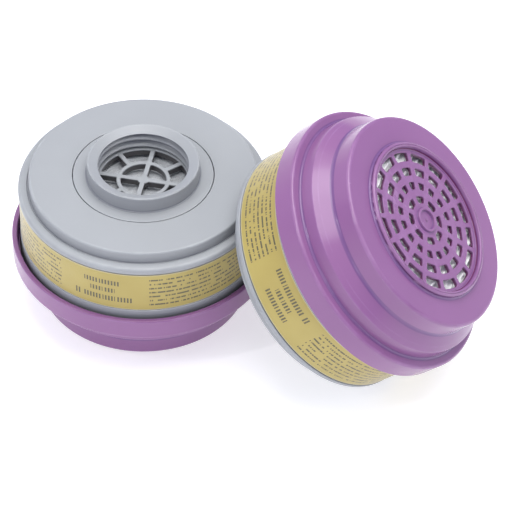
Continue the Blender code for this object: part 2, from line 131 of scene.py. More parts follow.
# ---- openings: inner radius, outer radius, count, bar width, corner radius ----
GRILLE_ROWS = ((24.4, 27.95, 16, 1.9, 0.85), (18.5, 21.8, 16, 2.4, 0.8), (12.8, 15.8, 16, 2.4, 0.65),
               (7.0, 9.9, 8, 2.3, 0.8))
SPIDER_ROWS = ((2.3, 9.2, 4, 1.9, 0.5), (10.8, 17.7, 8, 1.9, 0.35))
GRID_ROWS = ((7.0, 23.0, 6, 2.6, 1.6), (26.0, 42.0, 8, 2.6, 1.6))
GRILLE_BARS = 16          # in the full rows of the grille

# ---- thread ----
PITCH, TURNS, THREAD_D = 3.63, 2.15, 1.65
THREAD_TOP = 65.0         # height at which the ridge starts
THREAD_SHARP = 1.2        # the ridge gets narrower as this grows
THREAD_FADE = 0.7         # radians over which the ridge runs out
BORE_STEP = 0.14          # height between the rings that carry the thread

# ---- print on the label, in millimetres round it and up it ----
PRINT_LOW, PRINT_TOP = 2.0, 17.3
DASHED = ((-66, -18), (19, 74), (-140, -84), (92, 138))    # where the blocks of dashes start and end
TICKED = (                # start, end, foot and top of each run of upright ticks
    (-11.5, -8.5, 3.6, 6.6), (-7.5, -0.3, 3.8, 6.4), (0.5, 5.6, 3.8, 6.4), (6.4, 12.5, 3.8, 6.4),
    (-4.5, 0.6, 8.3, 10.6), (1.4, 5.5, 8.3, 10.6), (-7.0, -1.6, 12.4, 14.8), (-0.8, 7.5, 12.4, 14.8))
TICK_PITCH = 1.25


class Shape:
    """Points in millimetres, each with a wear-and-shade value (rubbed wear above 0, painted shade below 0),
    and faces; welded when the mesh is made.
    """

    def __init__(self):
        self.points, self.wear, self.faces = [], [], []

    def add(self, points, wear, faces):
        base = len(self.points)
        self.points += [tuple(p) for p in points]
        self.wear += list(wear)
        self.faces += [[base + i for i in face] for face in faces]

    def grid(self, points, wear, close_rows=False, close_columns=True):
        """Quads over rows of points; wear has one value for each row or for each point."""
        rows, columns = points.shape[:2]
        faces = []
        for i in range(rows if close_rows else rows - 1):
            k = (i + 1) % rows
            for j in range(columns if close_columns else columns - 1):
                n = (j + 1) % columns
                faces.append((i * columns + j, i * columns + n, k * columns + n, k * columns + j))
        if np.ndim(wear) == 1:
            wear = np.repeat(wear, columns)
        self.add(points.reshape(-1, 3), np.ravel(wear), faces)

    def mesh(self, name, look):
        """Mesh in metres, with the wear-and-shade values and the spot that the materials read."""
        mesh = bpy.data.meshes.new(name)
        mesh.from_pydata([(x * MM, y * MM, z * MM) for x, y, z in self.points], [], self.faces)
        mesh.attributes.new("wear", "FLOAT", "POINT").data.foreach_set("value", self.wear)
        spots = mesh.attributes.new("spot", "FLOAT_VECTOR", "POINT")
        spots.data.foreach_set("vector", [c * MM for p in self.points for c in p])
        work = bmesh.new()
        work.from_mesh(mesh)
        bmesh.ops.remove_doubles(work, verts=work.verts, dist=WELD)
        bmesh.ops.recalc_face_normals(work, faces=work.faces)
        work.to_mesh(mesh)
        work.free()
        mesh.shade_smooth()
        mesh.materials.append(look)
        return mesh


def polar(r, a):
    return (r * math.cos(a), r * math.sin(a))


def ring(r, seg):
    return [polar(r, math.tau * i / seg) for i in range(seg)]


def rounded(corners):
    """Profile of (r, z, wear-and-shade) points: each corner (r, z, fillet) becomes an arc between two guard
    points.

    A corner's fourth value, where it has one, is the wear-and-shade value of its arc and guard points;
    otherwise an outer arc gets rubbed wear and an inner arc painted crease shade.
    """
    flat = [np.array(c[:2], float) for c in corners]
    count = len(corners)
    area = sum(here[0] * after[1] - after[0] * here[1] for here, after in zip(flat, flat[1:] + flat[:1]))
    out = []
    for i, (r, z, fillet, *mark) in enumerate(corners):
        if not fillet:
            out.append((r, z, 0.0))
            continue
        here = flat[i]
        back, ahead = flat[i - 1] - here, flat[(i + 1) % count] - here
        back_length, ahead_length = np.linalg.norm(back), np.linalg.norm(ahead)
        a, b = back / back_length, ahead / ahead_length
        half = math.acos(float(np.clip(a @ b, -1, 1))) / 2
        cut = min(fillet / math.tan(half), 0.48 * back_length, 0.48 * ahead_length)
        fillet = cut * math.tan(half)
        middle = (a + b) / np.linalg.norm(a + b) * fillet / math.sin(half)
        start, end = a * cut - middle, b * cut - middle
        span = math.pi - 2 * half
        convex = (b[0] * a[1] - b[1] * a[0]) * area > 0
        guards = [here + way * (cut + min(GUARD, 0.3 * (length - cut)))
                  for way, length in ((a, back_length), (b, ahead_length))]
        beside = mark[0] if mark else 0.0
        out.append((*guards[0], beside))
        for step in range(ARC_STEPS + 1):
            t = step / ARC_STEPS
            arm = (math.sin((1 - t) * span) * start + math.sin(t * span) * end) / math.sin(span)
            # an inner arc gets CREASE, which paints shade into the crease; an outer arc gets rubbed wear
            out.append((*(here + middle + arm), beside or (RUBBED if convex else CREASE)))
        out.append((*guards[1], beside))
    return out


def turned(shape, profile, seg=SEG, closed=False, warp=None):
    """Turns a profile of (r, z, wear-and-shade) points about Z."""
    profile = np.array(profile)
    angle = np.linspace(0, math.tau, seg, endpoint=False)
    r = np.repeat(profile[:, :1], seg, 1)
    z = np.repeat(profile[:, 1:2], seg, 1)
    wear = np.repeat(profile[:, 2:], seg, 1)
    if warp:
        inward, mark = warp(r, z, angle[None])
        r, wear = r - inward, wear + mark
    shape.grid(np.stack([r * np.cos(angle), r * np.sin(angle), z], -1), wear, close_rows=closed)


def sector(r0, r1, a0, a1, bar, corner, grow=0.0):
    """Outline of the opening between two bars of equal width, with round corners; grow moves it outwards."""
    steps = max(2, int(r1 * (a1 - a0) / SIDE_STEP))
    r0, r1, corner, half = r0 - grow, r1 + grow, corner + grow, bar / 2 - grow
    corners = []
    for a, way, outer in ((a0, 1, True), (a1, -1, True), (a1, -1, False), (a0, 1, False)):
        reach = r1 - corner if outer else r0 + corner
        turn = a + way * math.asin((half + corner) / reach)
        radial = turn if outer else turn + math.pi
        start, end = (a - way * math.pi / 2, radial)
        if outer != (way > 0):
            start, end = end, start
        while end < start:
            end += math.tau
        x, y = polar(reach, turn)
        way_round = [start + (end - start) * k / CORNER_STEPS for k in range(CORNER_STEPS + 1)]
        corners.append((turn, [(x + corner * math.cos(t), y + corner * math.sin(t)) for t in way_round]))
    points = []
    for k, (turn, arc) in enumerate(corners):
        points += arc
        if k in (0, 2):
            following = corners[k + 1][0]
            r = r1 if k == 0 else r0
            points += [polar(r, turn + (following - turn) * i / steps) for i in range(1, steps)]
    return points


def openings(rows, grow):
    """Outlines of all sector openings; a grille row with fewer bars is turned by one bar of the full rows."""
    most = max(row[2] for row in rows)
    outlines = []
    for r0, r1, count, bar, corner in rows:
        first = math.tau / most if most == GRILLE_BARS and count < most else 0.0
        for i in range(count):
            start = first + math.tau * i / count
            outlines.append(sector(r0, r1, start, start + math.tau / count, bar, corner, grow))
    return outlines


def flat_face(shape, z, outline, holes, inner=()):
    """Flat face between an outline, an inner outline and the holes."""
    loops = [outline] + ([inner] if inner else []) + holes
    points = [Vector(p) for loop in loops for p in loop]
    faces, base = [], 0
    for loop in loops:
        faces.append(list(range(base, base + len(loop))))
        base += len(loop)
    verts, _, triangles, _, _, origin = geometry.delaunay_2d_cdt(points, [], faces, 1, 1e-6, True)
    kept = [t for t, o in zip(triangles, origin) if list(o) == [0]]
    shape.add([(x, y, z) for x, y in verts], [0.0] * len(verts), kept)


def pierced(shape, rows, front, back, front_r, back_r, seg, fillet, hub_r=0.0):
    """Front and back faces with the walls of the openings between them; fillet rounds the front edges."""
    way = math.copysign(1.0, back - front)
    rear = fillet / 2
    levels = [(fillet * (1 - math.sin(t)), front + way * fillet * (1 - math.cos(t)), RUBBED)
              for t in np.linspace(0, math.pi / 2, ARC_STEPS)]
    # the walls of the openings get DEEP: painted shade where light hardly reaches
    levels += [(0.0, front + way * (fillet + GUARD), DEEP), (0.0, back - way * rear, DEEP),
               (rear, back, DEEP)]
    loops = [openings(rows, grow) for grow, _, _ in levels]
    for n in range(len(loops[0])):
        points = np.array([[(x, y, z) for x, y in loop[n]] for loop, (_, z, _) in zip(loops, levels)])
        shape.grid(points, [wear for _, _, wear in levels])
    flat_face(shape, front, ring(front_r, seg), loops[0], ring(hub_r, seg) if hub_r else ())
    flat_face(shape, back, ring(back_r, seg), loops[-1])


def filter_housing(name, look):
    """Stepped housing with the grille in its floor, a hub ring and a centre pip."""
    shape = Shape()
    back_r, hub_r = HAT_IN - 1.2, HUB_OUT + HUB_MARGIN
    outside = [
        (GRILLE_R, FACE_Z, 0), (LEDGE_R, FACE_Z, 0.12), (LEDGE_R + 0.1, FACE_Z - LEDGE_UP, 0.14),
        # DEEP on the ledge corner paints shade up the bead's inner wall
        (BEAD_IN, FACE_Z - LEDGE_UP, 0.12, DEEP), (BEAD_IN + 0.35, 0.0, 0.6), (BEAD_OUT - 0.2, 0.0, 0.95),
        (BEAD_OUT, FACE_Z, 0.8), (HAT_R, FACE_Z, 1.1), (HAT_R + 0.35, WAIST_Z, 1.8),
        (RIDGE_R - 1.6, RIDGE_Z - 1.9, 2.4), (RIDGE_R, RIDGE_Z - 0.2, 0.7), (FOOT_R, FOOT_Z, 0.9),
        (RIM_R, FOOT_Z, 1.0), (RIM_R, RIM_Z, 0.6)]
    slope_z = WAIST_Z + 1.0
    inside = [
        (RIM_IN, RIM_Z, 0.5), (RIM_IN, CUP_Z, 0.4), (RIDGE_IN, CUP_Z, 0.3),
        (RIDGE_IN, slope_z + RIDGE_IN - HAT_IN, 0.8), (HAT_IN, slope_z, 0.8),
        (HAT_IN, CEIL_Z, 0.5), (back_r, CEIL_Z, 0)]
    turned(shape, rounded(outside + inside))
    pierced(shape, GRILLE_ROWS, FACE_Z, CEIL_Z, GRILLE_R, back_r, SEG, 0.28, hub_r)
    pip = [(PIP_R * math.cos(t), FACE_Z - (FACE_Z - PIP_Z) * math.sin(t), RUBBED)
           for t in np.linspace(0, math.pi / 2, ARC_STEPS + 1)]
    turned(shape, rounded([
        (hub_r, FACE_Z, 0), (HUB_OUT + 0.12, FACE_Z, 0.2), (HUB_OUT, HUB_Z, 0.22), (HUB_IN, HUB_Z, 0.22),
        (HUB_IN - 0.12, FACE_Z, 0.2), (PIP_R + HUB_MARGIN, FACE_Z, 0)]) + pip)
    return shape.mesh(name, look)


def ripples(px, py, layers, turn=float):
    """Height at each point, added up from layers of noise: (length along x, along y, seed, height)."""
    return np.array([[sum(turn(noise.noise((u / along, v / across, seed))) * height
                          for along, across, seed, height in layers) for u, v in zip(row_x, row_y)]
                     for row_x, row_y in zip(px, py)])


def pleated_media(name, look):
    """Folded sheet trimmed to a disc, its folds bowed and crumpled."""
    columns, rows = 420, 90
    shape = Shape()
    x = np.linspace(-MEDIA_R + 0.02, MEDIA_R - 0.02, columns)
    t = np.linspace(-1, 1, rows)
    half = np.sqrt(MEDIA_R ** 2 - x ** 2)
    px = np.repeat(x[:, None], rows, 1)
    py = half[:, None] * t[None]
    bow = ripples(px, py, ((17, 11, 3.7, 1.2), (5, 4, 9.1, 0.5)))
    dent = ripples(px, py, ((3.4, 3.0, 5.3, 1.5), (1.5, 1.9, 8.3, 0.5)), abs)
    phase = (px + bow) / PLEAT_PITCH
    saw = np.abs(phase - np.floor(phase) - 0.5) * 2
    fold = saw * saw * (3 - 2 * saw)
    lower = PLEAT_LOW + PLEAT_DEPTH * fold + dent
    upper = np.minimum(lower + SHEET_T, PLEAT_TOP)
    under = np.stack([px, py, lower], -1)
    over = np.stack([px, py, upper], -1)
    loop = np.concatenate([under, over[:, ::-1]], 1).transpose(1, 0, 2)
    shape.grid(loop, [0.0] * len(loop), close_rows=True, close_columns=False)
    for k in (0, columns - 1):
        shape.add(np.concatenate([under[k], over[k][::-1]]), [0.0] * rows * 2,
                  [(j, j + 1, 2 * rows - 2 - j, 2 * rows - 1 - j) for j in range(rows - 1)])
    return shape.mesh(name, look)


def media_frame(name, look):
    """Potting ring that holds the pleats and fills the taper of the housing."""
    shape = Shape()
    outer, slope_z = RIDGE_IN - FIT, WAIST_Z + 1.1
    turned(shape, rounded([
        (FRAME_IN, FRAME_TOP, 0.3), (outer, FRAME_TOP, 0.3), (outer, slope_z + RIDGE_IN - HAT_IN, 0.7),
        (FRAME_R, slope_z, 0.7), (FRAME_R, FRAME_LOW, 0.2), (FRAME_IN, FRAME_LOW, 0.2)]), closed=True)
    return shape.mesh(name, look)


def filter_back_grid(name, look):
    """Disc with sector openings that closes the housing towards the canister."""
    shape = Shape()
    outer = RIDGE_IN - FIT
    edge_r = outer - 1.5
    turned(shape, rounded([(edge_r, GRID_TOP, 0), (outer, GRID_TOP, 0.4), (outer, CUP_Z, 0.2),
                           (edge_r, CUP_Z, 0)]))
    pierced(shape, GRID_ROWS, GRID_TOP, CUP_Z, edge_r, edge_r, SEG, 0.35)
    return shape.mesh(name, look)


def filter_gasket(name, look):
    """Flat ring with soft outer edges."""
    shape = Shape()
    inner = RIDGE_IN + FIT
    turned(shape, rounded([(inner, GASKET_TOP, 0.3), (GASKET_R, GASKET_TOP, 0.6), (GASKET_R, GASKET_LOW, 0.6),
                           (inner, GASKET_LOW, 0.3)]), closed=True)
    return shape.mesh(name, look)


def canister_shell(name, look):
    """Cup with a grid floor at the inlet, a plain band, a seat for the label and a lip for the cover."""
    shape = Shape()
    back_r = BORE_R - 1.0
    turned(shape, rounded([
        (INLET_R, CAN_Z, 0), (CANISTER_R, CAN_Z, 0.9), (CANISTER_R, LABEL_Z, 0.25),
        (SEAT_R, LABEL_Z + 0.05, 0.1), (SEAT_R, LABEL_TOP, 0.15), (LIP_R, LABEL_TOP, 0.1),
        (LIP_R, LIP_Z, 0.2), (BORE_R, LIP_Z, 0.2), (BORE_R, FLOOR_Z, 0.6), (back_r, FLOOR_Z, 0)]))
    pierced(shape, GRID_ROWS, CAN_Z, FLOOR_Z, INLET_R, back_r, SEG, 0.35)
    return shape.mesh(name, look)


def canister_label(name, look):
    """Thin sleeve a little shorter than its seat."""
    shape = Shape()
    low, high = LABEL_Z + 0.2, LABEL_TOP - 0.2
    turned(shape, rounded([(LABEL_IN, high, 0.05), (LABEL_OUT, high, 0.1), (LABEL_OUT, low, 0.1),
                           (LABEL_IN, low, 0.05)]), closed=True)
    return shape.mesh(name, look)


def soft_disc(name, look, low, high, radius, puff, crumb, seed):
    """Crowned pad with a rolled edge and an uneven face on both sides; puff is lumps, crumb is grain."""
    shape = Shape()
    rings, seg = 64, 128
    lump_length, grain_length = 6.0, 0.9
    steps = np.linspace(0, 1, rings)
    profile = [(radius * s, low) for s in steps] + [(radius * s, high) for s in steps[::-1]]
    angle = np.linspace(0, math.tau, seg, endpoint=False)
    middle, half = (low + high) / 2, (high - low) / 2
    edge = 1.4 * half
    points = np.zeros((len(profile), seg, 3))
    for i, (r, z) in enumerate(profile):
        side = math.copysign(1.0, z - middle)
        roll = math.sqrt(max(0.0, 1 - max(0.0, (r - radius + edge) / edge) ** 2))
        for j, a in enumerate(angle):
            x, y = polar(r, a)
            lump = noise.noise((x / lump_length, y / lump_length, seed + side)) * puff
            grain = noise.noise((x / grain_length, y / grain_length, seed - side)) * crumb
            rise = half * roll - (puff + crumb) * roll + (lump + grain) * roll
            points[i, j] = (x, y, middle + side * rise)
    shape.grid(points, [0.0] * len(profile))
    return shape.mesh(name, look)


def inlet_dust_pad(name, look):
    """Thin felt pad on the inlet grid."""
    return soft_disc(name, look, PAD_LOW, PAD_TOP, DISC_R, 0.12, 0.06, 4.0)


def sorbent_bed(name, look):
    """Bed of carbon granules between the pads."""
    return soft_disc(name, look, BED_LOW, BED_TOP, DISC_R, 0.2, 0.35, 11.0)


def outlet_fines_pad(name, look):
    """Felt pad behind the outlet grid."""
    return soft_disc(name, look, FINES_LOW, FINES_TOP + FINES_CROWN, DISC_R, 0.3, 0.1, 19.0)


def mask_side_cover(name, look):
    """Raised plate with a groove at its foot and a rounded shoulder."""
    shape = Shape()
    outside = [
        (SEAM_R, PLATE_Z, 0.22), (PLATE_R - 0.05, PLATE_Z, 0.75), (PLATE_R + 0.15, LEDGE_Z - 0.1, 0.2),
        (PLATE_R + 0.75, LEDGE_Z - 0.1, 0.15), (PLATE_R + 1.0, LEDGE_Z + 0.25, 0.25),
        (CANISTER_R, LEDGE_Z - 0.1, 1.5), (CANISTER_R, LABEL_TOP + FIT, 0.3)]
    rib_z, under_r, under_z = FINES_TOP + 0.6, PLATE_R - 2.2, PLATE_Z - PLATE_T
    inside = [
        (LAP_R, LABEL_TOP + FIT, 0.1), (LAP_R, LIP_Z + FIT, 0.1), (RIB_R, LIP_Z + FIT, 0.2),
        (RIB_R, rib_z, 0.2), (RIB_IN, rib_z, 0.3), (under_r, LEDGE_Z - 0.4, 0.8), (under_r, under_z, 0.6),
        (SEAM_R + 2.0, under_z, 0.4), (SEAM_R + 2.0, SEAT_LOW, 0.2), (NECK_HOLE_R, SEAT_LOW, 0.2),
        (NECK_HOLE_R, SEAT_TOP, 0.2), (SEAM_R, SEAT_TOP, 0.15)]
    turned(shape, rounded(outside + inside), closed=True)
    return shape.mesh(name, look)


def thread(r, z, angle):
    """How far the helical ridge stands in from the bore, and its wear-and-shade value: painted shade in the
    groove at its foot, rubbed wear on its crest.
    """
    phase = (z - THREAD_TOP) / PITCH - angle / math.tau
    nearest = np.round(phase)
    run = angle + math.tau * nearest
    ends = np.clip(-run / THREAD_FADE, 0, 1) * np.clip((run + math.tau * TURNS) / THREAD_FADE, 0, 1)
    ends = ends * ends * (3 - 2 * ends)
    crest = 0.5 + 0.5 * np.cos(math.tau * (phase - nearest))
    inside = (r < ROOT_R + 0.01) & (r > ROOT_R - 0.01) & (z > SPIDER_Z + 0.3)
    rise = ends * crest ** THREAD_SHARP
    return np.where(inside, THREAD_D * rise, 0.0), np.where(inside, 2 * rise - 1, 0.0)


def threaded_neck(name, look):
    """Flanged neck with an internal round thread, a chamfered mouth and the outlet grid across its foot."""
    shape = Shape()
    edge_r, back_r = ROOT_R - 0.6, SKIRT_R - 0.6
    bore_top, chamfer_z, flange_z = NECK_Z - 2.7, NECK_Z - 1.8, PLATE_Z - PLATE_T
    bore = [(ROOT_R, z, 0) for z in np.arange(SPIDER_Z + 0.8, bore_top - 0.4, BORE_STEP)]
    turned(shape, rounded(
        [(edge_r, SPIDER_Z, 0), (ROOT_R, SPIDER_Z, 0.3)] + bore
        + [(ROOT_R, bore_top, 0.3), (MOUTH_R, bore_top + 0.7, 0.3), (MOUTH_R, chamfer_z, 0.35),
           (NECK_R - 0.55, NECK_Z, 0.4), (NECK_R, NECK_Z - 0.35, 0.3), (NECK_R + 0.1, PLATE_Z, 0.5),
           (FLANGE_R, PLATE_Z, 0.22), (FLANGE_R, flange_z, 0.1), (SKIRT_R, flange_z, 0.2),
           (SKIRT_R, SPIDER_LOW, 0.2), (back_r, SPIDER_LOW, 0)]), seg=SEG_NECK, warp=thread)
    pierced(shape, SPIDER_ROWS, SPIDER_Z, SPIDER_LOW, edge_r, back_r, SEG_NECK, 0.25)
    return shape.mesh(name, look)


class Look:
    """A material's node tree with short ways to add nodes to it."""

    def __init__(self, name, **values):
        self.material = bpy.data.materials.new(name)
        self.material.use_nodes = True
        self.tree = self.material.node_tree
        self.shader = self.tree.nodes["Principled BSDF"]
        for key, value in values.items():
            self.shader.inputs[key.replace("_", " ")].default_value = value
        self.place = self.add("ShaderNodeAttribute", {}, attribute_name="spot").outputs["Vector"]

    def add(self, kind, inputs, **settings):
        node = self.tree.nodes.new(kind)
        for key, value in settings.items():
            setattr(node, key, value)
        for key, value in inputs.items():
            if isinstance(value, bpy.types.NodeSocket):
                self.tree.links.new(value, node.inputs[key])
            else:
                node.inputs[key].default_value = value
        return node

    def math(self, operation, *values, clamp=False):
        node = self.add("ShaderNodeMath", dict(enumerate(values)), operation=operation, use_clamp=clamp)
        return node.outputs[0]

    def noise(self, scale, detail=2.0, rough=0.5, vector=None, distortion=0.0):
        return self.add("ShaderNodeTexNoise", {
            "Vector": vector or self.place, "Scale": scale, "Detail": detail, "Roughness": rough,
            "Distortion": distortion}).outputs["Fac"]

    def stretched(self, scale):
        return self.add("ShaderNodeMapping", {"Vector": self.place, "Scale": scale}).outputs[0]

    def span(self, value, low, high, out_low=0.0, out_high=1.0):
        return self.add("ShaderNodeMapRange", {
            "Value": value, "From Min": low, "From Max": high,
            "To Min": out_low, "To Max": out_high}).outputs[0]

    def mix(self, factor, a, b):
        """Blend of two colours; 6 and 7 are the colour inputs of the Mix node, 2 is its colour output."""
        return self.add("ShaderNodeMix", {0: factor, 6: a, 7: b}, data_type="RGBA").outputs[2]

    def join(self, **sockets):
        for key, value in sockets.items():
            self.tree.links.new(value, self.shader.inputs[key.replace("_", " ")])

    def bump(self, height, distance, strength=1.0, normal=None):
        inputs = {"Height": height, "Distance": distance, "Strength": strength}
        if normal:
            inputs["Normal"] = normal
        return self.add("ShaderNodeBump", inputs).outputs[0]


def shade(colour, factor):
    return (*(c * factor for c in colour), 1.0)


def plastic(name, colour, roughness, worn, crease_shade_and_dirt, slot_wall_shade, grain):
    """Moulded plastic: fine grain, cloudy colour, pale rubbed edges, painted shade with some dirt in the
    creases, painted shade on the walls of slots, faint scuffs.
    """
    look = Look(name, IOR=1.48)
    cloud = look.span(look.noise(28, 3), 0.3, 0.7)
    base = look.mix(cloud, shade(colour, 0.965), shade(colour, 1.03))
    speck = look.span(look.noise(700, 2), 0.73, 0.78, 0, 0.08 * grain)
    base = look.mix(speck, base, shade(colour, 0.85))
    edge = look.add("ShaderNodeAttribute", {}, attribute_name="wear").outputs["Fac"]
    convex = look.math("MAXIMUM", edge, 0.0)
    rub = look.math("MULTIPLY", convex, look.span(look.noise(70, 4, 0.6), 0.4, 0.75))
    base = look.mix(look.math("MULTIPLY", rub, 0.25), base, (*worn, 1.0))
    # painted shade with some dirt: inner corners darken toward the crease colour
    crease = look.math("MULTIPLY", look.math("MULTIPLY", edge, -1.0, clamp=True),
                       look.span(look.noise(55, 3), 0.3, 0.7, 0.35, 0.6))
    base = look.mix(crease, base, (*crease_shade_and_dirt, 1.0))
    # painted shade: walls of openings that light hardly reaches darken toward the depth colour
    wall_shade_mask = look.math("SUBTRACT", look.math("MULTIPLY", edge, -1.0), 1.0, clamp=True)
    base = look.mix(look.math("MULTIPLY", wall_shade_mask, 0.9), base, (*slot_wall_shade, 1.0))
    scuff = look.span(look.noise(190, 3, 0.6, look.stretched((1.0, 7.0, 1.0))), 0.62, 0.72)
    satin = look.span(look.noise(90, 3, 0.6), 0.3, 0.7, roughness - 0.03, roughness + 0.04)
    dull = look.math("ADD", satin, look.math("MULTIPLY", rub, 0.06))
    dull = look.math("ADD", dull, look.math("MULTIPLY", scuff, 0.015), clamp=True)
    fine = look.bump(look.noise(4200, 2, 0.6), 0.000004 * grain)
    wave = look.bump(look.noise(40, 1), 0.0002, 0.15, fine)
    look.join(Base_Color=base, Roughness=dull, Normal=wave)
    return look.material


def printed_label():
    """Coated olive-yellow paper with rows of dashes and three rows of upright ticks, all generic."""
    look = Look("label_paper", IOR=1.5, Sheen_Weight=0.3, Sheen_Roughness=0.4)
    parts = look.add("ShaderNodeSeparateXYZ", {"Vector": look.place}).outputs
    along = look.math("MULTIPLY", look.math("ARCTAN2", parts["Y"], parts["X"]), LABEL_OUT)
    up = look.math("SUBTRACT", look.math("MULTIPLY", parts["Z"], 1000.0), LABEL_Z)

    def both(one, other):
        return look.math("MULTIPLY", one, other)

    def between(value, low, high):
        return both(look.math("GREATER_THAN", value, low), look.math("LESS_THAN", value, high))

    def either(*masks):
        total = masks[0]
        for mask in masks[1:]:
            total = look.math("MAXIMUM", total, mask)
        return total

    def marks(length, detail, index, step, seed, least):
        """Marks along a row, where noise that changes by length and from row to row is above least."""
        where = look.add("ShaderNodeCombineXYZ", {
            "X": look.math("DIVIDE", along, length), "Y": look.math("MULTIPLY", index, step),
            "Z": seed}).outputs[0]
        return look.math("GREATER_THAN", look.noise(1.0, detail, vector=where), least)

    def dashes(pitch, shift, fill, word, gap, seed):
        row = look.math("DIVIDE", look.math("SUBTRACT", up, shift), pitch)
        index = look.math("FLOOR", row)
        within = look.math("SUBTRACT", row, index)
        line = between(within, 0.5 - fill / 2, 0.5 + fill / 2)
        words = marks(word, 1, index, 7.31, seed, gap)
        strokes = marks(word * 0.28, 0, index, 3.7, seed + 5.0, 0.42)
        return both(line, both(words, strokes))

    dashed = both(between(up, PRINT_LOW, PRINT_TOP), either(*(between(along, a, b) for a, b in DASHED)))
    small = both(dashed, dashes(pitch=2.2, shift=PRINT_LOW, fill=0.36, word=2.0, gap=0.4, seed=2.0))
    runs = either(*(both(between(along, a, b), between(up, low, high)) for a, b, low, high in TICKED))
    ticks = between(look.math("FRACT", look.math("DIVIDE", along, TICK_PITCH)), 0.2, 0.75)
    ink = both(either(small, both(runs, ticks)), look.span(look.noise(1500, 2), 0.25, 0.5, 0.72, 0.9))
    cloud = look.span(look.noise(40, 3), 0.3, 0.7)
    paper = look.mix(cloud, (0.375, 0.290, 0.068, 1), (0.425, 0.335, 0.09, 1))
    edge = look.add("ShaderNodeAttribute", {}, attribute_name="wear").outputs["Fac"]
    paper = look.mix(both(edge, 0.6), paper, (0.62, 0.6, 0.48, 1))
    colour = look.mix(ink, paper, (0.055, 0.05, 0.035, 1))
    dull = look.math("ADD", look.span(look.noise(420, 3), 0.3, 0.7, 0.33, 0.42), both(ink, 0.08))
    fibre = look.bump(look.noise(1400, 3, 0.6, look.stretched((1.0, 1.0, 4.0))), 0.00003)
    raised = look.bump(ink, 0.00001, 0.5, fibre)
    ripple = look.bump(look.noise(55, 2), 0.0003, 0.4, raised)
    look.join(Base_Color=colour, Roughness=dull, Normal=ripple)
    return look.material


def filter_sheet():
    """Pressed white filter paper with a slight gloss and grey folds."""
    look = Look("filter_sheet", IOR=1.45)
    cloud = look.span(look.noise(300, 4, 0.6), 0.3, 0.7)
    tone = look.mix(cloud, (0.92, 0.92, 0.91, 1), (0.97, 0.97, 0.96, 1))
    dust = look.span(look.noise(1100, 3, 0.7), 0.62, 0.74, 0, 0.25)
    tone = look.mix(dust, tone, (0.4, 0.4, 0.39, 1))
    weave = look.noise(3800, 3, 0.6, look.stretched((1.0, 2.5, 1.0)), 0.6)
    look.join(Base_Color=tone, Roughness=look.span(weave, 0.3, 0.7, 0.24, 0.4),
              Normal=look.bump(weave, 0.00003, 0.8, look.bump(look.noise(420, 2), 0.0004, 0.6)))
    return look.material


def fibre_felt():
    """Needled white-grey fibre: crossing strands at two angles and loose tufts."""
    look = Look("fibre_felt", Sheen_Weight=0.25, Sheen_Roughness=0.6)
    one = look.noise(900, 3, 0.65, look.stretched((1.0, 6.0, 1.0)), 1.2)
    two = look.noise(900, 3, 0.65, look.stretched((6.0, 1.0, 1.0)), 1.2)
    strands = look.math("MAXIMUM", one, two)
    tone = look.mix(look.span(strands, 0.45, 0.72), (0.28, 0.29, 0.31, 1), (0.62, 0.64, 0.66, 1))
    tuft = look.span(look.noise(260, 3, 0.6), 0.35, 0.65, 0, 0.35)
    tone = look.mix(tuft, tone, (0.70, 0.71, 0.73, 1))
    look.join(Base_Color=tone, Roughness=look.span(strands, 0.3, 0.7, 0.95, 0.75),
              Normal=look.bump(strands, 0.0003, 0.9))
    return look.material


def potting():
    """Cast resin, cream coloured, with a slightly wavy face."""
    look = Look("potting_resin", IOR=1.5)
    tone = look.mix(look.span(look.noise(90, 3), 0.3, 0.7), (0.60, 0.55, 0.42, 1), (0.70, 0.66, 0.54, 1))
    look.join(Base_Color=tone, Roughness=look.span(look.noise(500, 3), 0.3, 0.7, 0.3, 0.5),
              Normal=look.bump(look.noise(160, 3), 0.0004, 0.5))
    return look.material


def gasket_rubber():
    """Black rubber with a grey bloom."""
    look = Look("gasket_rubber", IOR=1.5)
    bloom = look.span(look.noise(420, 4, 0.6), 0.45, 0.75, 0, 0.5)
    tone = look.mix(bloom, (0.022, 0.022, 0.024, 1), (0.075, 0.075, 0.078, 1))
    look.join(Base_Color=tone, Roughness=look.span(look.noise(800, 3), 0.3, 0.7, 0.6, 0.85),
              Normal=look.bump(look.noise(2600, 3), 0.00008, 0.7))
    return look.material


def carbon_granules():
    """Dark granules about a millimetre across, each with its own grey and facets."""
    look = Look("carbon_granules", IOR=1.5)
    cells = look.add("ShaderNodeTexVoronoi", {"Vector": look.place, "Scale": 950.0})
    lightness = look.span(cells.outputs["Color"], 0.0, 1.0)
    tone = look.mix(lightness, (0.012, 0.012, 0.013, 1), (0.05, 0.05, 0.052, 1))
    look.join(Base_Color=tone, Roughness=look.span(look.noise(2400, 3), 0.3, 0.7, 0.45, 0.9),
              Normal=look.bump(cells.outputs["Distance"], -0.0006, 0.9))
    return look.material


def set_place(side, x_axis):
    """Matrix of a cartridge: axis from the record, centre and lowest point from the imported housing."""
    z = SEATS[side]
    x = (x_axis - z * x_axis.dot(z)).normalized()
    y = z.cross(x)
    points = np.array([v.co for v in frame["nodes"][side + "_filter_housing"].data.vertices])
    spans = [points @ np.array(a) for a in (x, y)]
    middle = [(reach.max() + reach.min()) / 2 for reach in spans]
    low = float((points @ np.array(z)).min())
    matrix = Matrix((x, y, z)).transposed().to_4x4()
    matrix.translation = x * middle[0] + y * middle[1] + z * low
    return matrix


SEATS = {side: Vector(mount["axis"]).normalized() for mount in frame["record"]["mounts"]
         for side in ("left", "right") if mount["name"] == side + "_facepiece_seat"}
upward = (Vector((0, 0, 1)) - SEATS["right"] * SEATS["right"].z).normalized()
lean = math.radians(LEAN_TURN)
PLACES = {
    "left": set_place("left", Vector((*polar(1.0, math.radians(LEFT_TURN)), 0.0))),
    "right": set_place("right", upward * math.cos(lean) + SEATS["right"].cross(upward) * math.sin(lean))}
